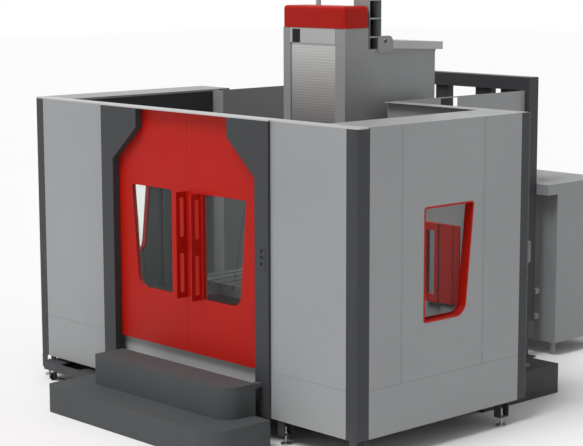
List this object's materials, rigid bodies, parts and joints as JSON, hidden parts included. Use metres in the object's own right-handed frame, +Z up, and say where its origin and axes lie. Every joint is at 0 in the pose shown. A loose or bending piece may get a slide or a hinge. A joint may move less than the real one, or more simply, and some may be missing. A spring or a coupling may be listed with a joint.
{
  "type": "cnc machining center",
  "caption": "Open-top travelling-column machining center with red sliding doors, stepped platform, slatted column cover, rear portal and electrical cabinet.",
  "frame": {"origin": "middle of the footprint on the floor, where the steps, feet, plinth and cabinet stand", "axes": "+X to the operator's right along the front, +Y to the back, +Z up"},
  "size_m": [4.004, 5.359, 3.564],
  "materials": {
    "light_panel": "satin light gray powder coat",
    "bright_panel": "satin pale gray powder coat",
    "dark_trim": "satin dark gray powder coat",
    "red_paint": "satin red paint",
    "step_paint": "matte dark gray textured coat",
    "pane": "clear safety pane, slightly grey",
    "casting": "painted gray casting",
    "ground_steel": "ground",
    "slat_metal": "brushed slats",
    "black_rubber": "matte",
    "black_plastic": "matte",
    "zinc": "zinc plated",
    "cabinet_paint": "satin gray powder coat",
    "dark_red_paint": "satin dark red paint"
  },
  "bodies": {
    "frame": {"right_wall": "light_panel", "left_wall": "light_panel", "flange_liners": "dark_trim", "window_frames": "red_paint", "wall_panes": "pane", "front_panels": "light_panel", "pilasters": "dark_trim", "corner_posts": "dark_trim", "door_guides": "bright_panel", "rear_walls": "light_panel", "bay_guards": "light_panel", "rear_portal": "dark_trim", "button_plate": "dark_trim", "base_frame": "dark_trim", "levelling_feet": "zinc", "steps": "step_paint", "bed": "casting", "linear_rails": "ground_steel", "axis_motors": "black_plastic", "bed_end_covers": "ground_steel", "magazine_base": "dark_trim", "magazine_stand": "casting", "magazine_guard": "red_paint", "cabinet": "cabinet_paint"},
    "left_door": {"left_door": "red_paint", "left_door_pane": "pane", "left_handle": "red_paint"},
    "right_door": {"right_door": "red_paint", "right_door_pane": "pane", "right_handle": "red_paint"},
    "lower_button": {"lower_button": "black_plastic"},
    "middle_button": {"middle_button": "black_plastic"},
    "upper_button": {"upper_button": "black_plastic"},
    "chip_tray": {"chip_tray": "dark_trim"},
    "front_wheelset": {"front_wheelset": "black_rubber"},
    "rear_wheelset": {"rear_wheelset": "black_rubber"},
    "table_screw": {"table_screw": "ground_steel"},
    "column_screw": {"column_screw": "ground_steel"},
    "table": {"saddle": "dark_red_paint", "saddle_covers": "ground_steel"},
    "pallet": {"pallet": "casting"},
    "left_middle_cover": {"left_middle_cover": "ground_steel"},
    "right_middle_cover": {"right_middle_cover": "ground_steel"},
    "column": {"column": "light_panel", "column_plates": "bright_panel", "red_cap": "red_paint", "top_slab": "bright_panel", "slat_curtain": "slat_metal", "lifting_lugs": "light_panel", "head_rails": "ground_steel", "cable_duct": "light_panel", "lamp_pole": "bright_panel"},
    "head": {"head": "casting"},
    "spindle": {"spindle": "ground_steel"},
    "middle_shutter": {"middle_shutter": "ground_steel"},
    "head_screw": {"head_screw": "ground_steel"},
    "magazine_disc": {"magazine_disc": "casting"},
    "left_cabinet_door": {"left_cabinet_door": "cabinet_paint"},
    "right_cabinet_door": {"right_cabinet_door": "cabinet_paint"},
    "main_switch": {"main_switch": "red_paint"}
  },
  "joints": [
    {"name": "left_door_slide", "type": "slide", "parent": "frame", "child": "left_door", "axis": [-1, 0, 0], "range_m": [0, 0.82]},
    {"name": "right_door_slide", "type": "slide", "parent": "frame", "child": "right_door", "axis": [1, 0, 0], "range_m": [0, 0.68]},
    {"name": "lower_button_press", "type": "slide", "parent": "frame", "child": "lower_button", "axis": [0, 1, 0], "range_m": [0, 0.003], "stiffness_N_per_m": 400},
    {"name": "middle_button_press", "type": "slide", "parent": "frame", "child": "middle_button", "axis": [0, 1, 0], "range_m": [0, 0.003], "stiffness_N_per_m": 400},
    {"name": "upper_button_press", "type": "slide", "parent": "frame", "child": "upper_button", "axis": [0, 1, 0], "range_m": [0, 0.003], "stiffness_N_per_m": 400},
    {"name": "tray_roll", "type": "slide", "parent": "frame", "child": "chip_tray", "axis": [0, -1, 0], "range_m": [0, 0.55]},
    {"name": "front_wheel_spin", "type": "hinge", "parent": "chip_tray", "child": "front_wheelset", "pos_m": [-1.4225, -2.0295, 0.0325], "axis": [1, 0, 0], "continuous": true},
    {"name": "rear_wheel_spin", "type": "hinge", "parent": "chip_tray", "child": "rear_wheelset", "pos_m": [-1.4225, -1.6295, 0.0325], "axis": [1, 0, 0], "continuous": true},
    {"name": "table_slide", "type": "slide", "parent": "frame", "child": "table", "axis": [1, 0, 0], "range_m": [-0.5, 0.5]},
    {"name": "pallet_turn", "type": "hinge", "parent": "table", "child": "pallet", "pos_m": [0.015, -1.1795, 0.96], "axis": [0, 0, 1], "continuous": true},
    {"name": "left_cover_slide", "type": "slide", "parent": "frame", "child": "left_middle_cover", "axis": [1, 0, 0], "range_m": [-0.25, 0.25]},
    {"name": "right_cover_slide", "type": "slide", "parent": "frame", "child": "right_middle_cover", "axis": [1, 0, 0], "range_m": [-0.25, 0.25]},
    {"name": "table_screw_spin", "type": "hinge", "parent": "frame", "child": "table_screw", "pos_m": [0, -1.1795, 0.665], "axis": [1, 0, 0], "continuous": true},
    {"name": "column_slide", "type": "slide", "parent": "frame", "child": "column", "axis": [0, 1, 0], "range_m": [-0.08, 0.85]},
    {"name": "column_screw_spin", "type": "hinge", "parent": "frame", "child": "column_screw", "pos_m": [0.0235, 0.3205, 0.665], "axis": [0, 1, 0], "continuous": true},
    {"name": "head_slide", "type": "slide", "parent": "column", "child": "head", "axis": [0, 0, 1], "range_m": [0, 0.7], "deforming": ["slat_curtain"]},
    {"name": "shutter_slide", "type": "slide", "parent": "column", "child": "middle_shutter", "axis": [0, 0, 1], "range_m": [0, 0.35]},
    {"name": "head_screw_spin", "type": "hinge", "parent": "column", "child": "head_screw", "pos_m": [0.0095, -0.1795, 1.7], "axis": [0, 0, 1], "continuous": true},
    {"name": "spindle_spin", "type": "hinge", "parent": "head", "child": "spindle", "pos_m": [0.0095, -0.8795, 1.205], "axis": [0, 1, 0], "continuous": true},
    {"name": "magazine_turn", "type": "hinge", "parent": "frame", "child": "magazine_disc", "pos_m": [1.485, 0.0305, 1.2], "axis": [0, 1, 0], "continuous": true},
    {"name": "left_cabinet_door_hinge", "type": "hinge", "parent": "frame", "child": "left_cabinet_door", "pos_m": [-0.873, 2.6335, 0.83], "axis": [0, 0, 1], "range_deg": [0, 110]},
    {"name": "right_cabinet_door_hinge", "type": "hinge", "parent": "frame", "child": "right_cabinet_door", "pos_m": [0.753, 2.6335, 0.83], "axis": [0, 0, -1], "range_deg": [0, 110]},
    {"name": "main_switch_turn", "type": "hinge", "parent": "right_cabinet_door", "child": "main_switch", "pos_m": [0.56, 2.6455, 1.25], "axis": [0, 1, 0], "range_deg": [0, 90]}
  ],
  "couplings": [
    {"joint": "front_wheel_spin", "follows": "tray_roll", "rad_per_m": 30.769},
    {"joint": "rear_wheel_spin", "follows": "tray_roll", "rad_per_m": 30.769},
    {"joint": "left_cover_slide", "follows": "table_slide", "ratio": 0.5},
    {"joint": "right_cover_slide", "follows": "table_slide", "ratio": 0.5},
    {"joint": "table_screw_spin", "follows": "table_slide", "rad_per_m": 157.08},
    {"joint": "column_screw_spin", "follows": "column_slide", "rad_per_m": 157.08},
    {"joint": "shutter_slide", "follows": "head_slide", "ratio": 0.5},
    {"joint": "head_screw_spin", "follows": "head_slide", "rad_per_m": 157.08}
  ]
}
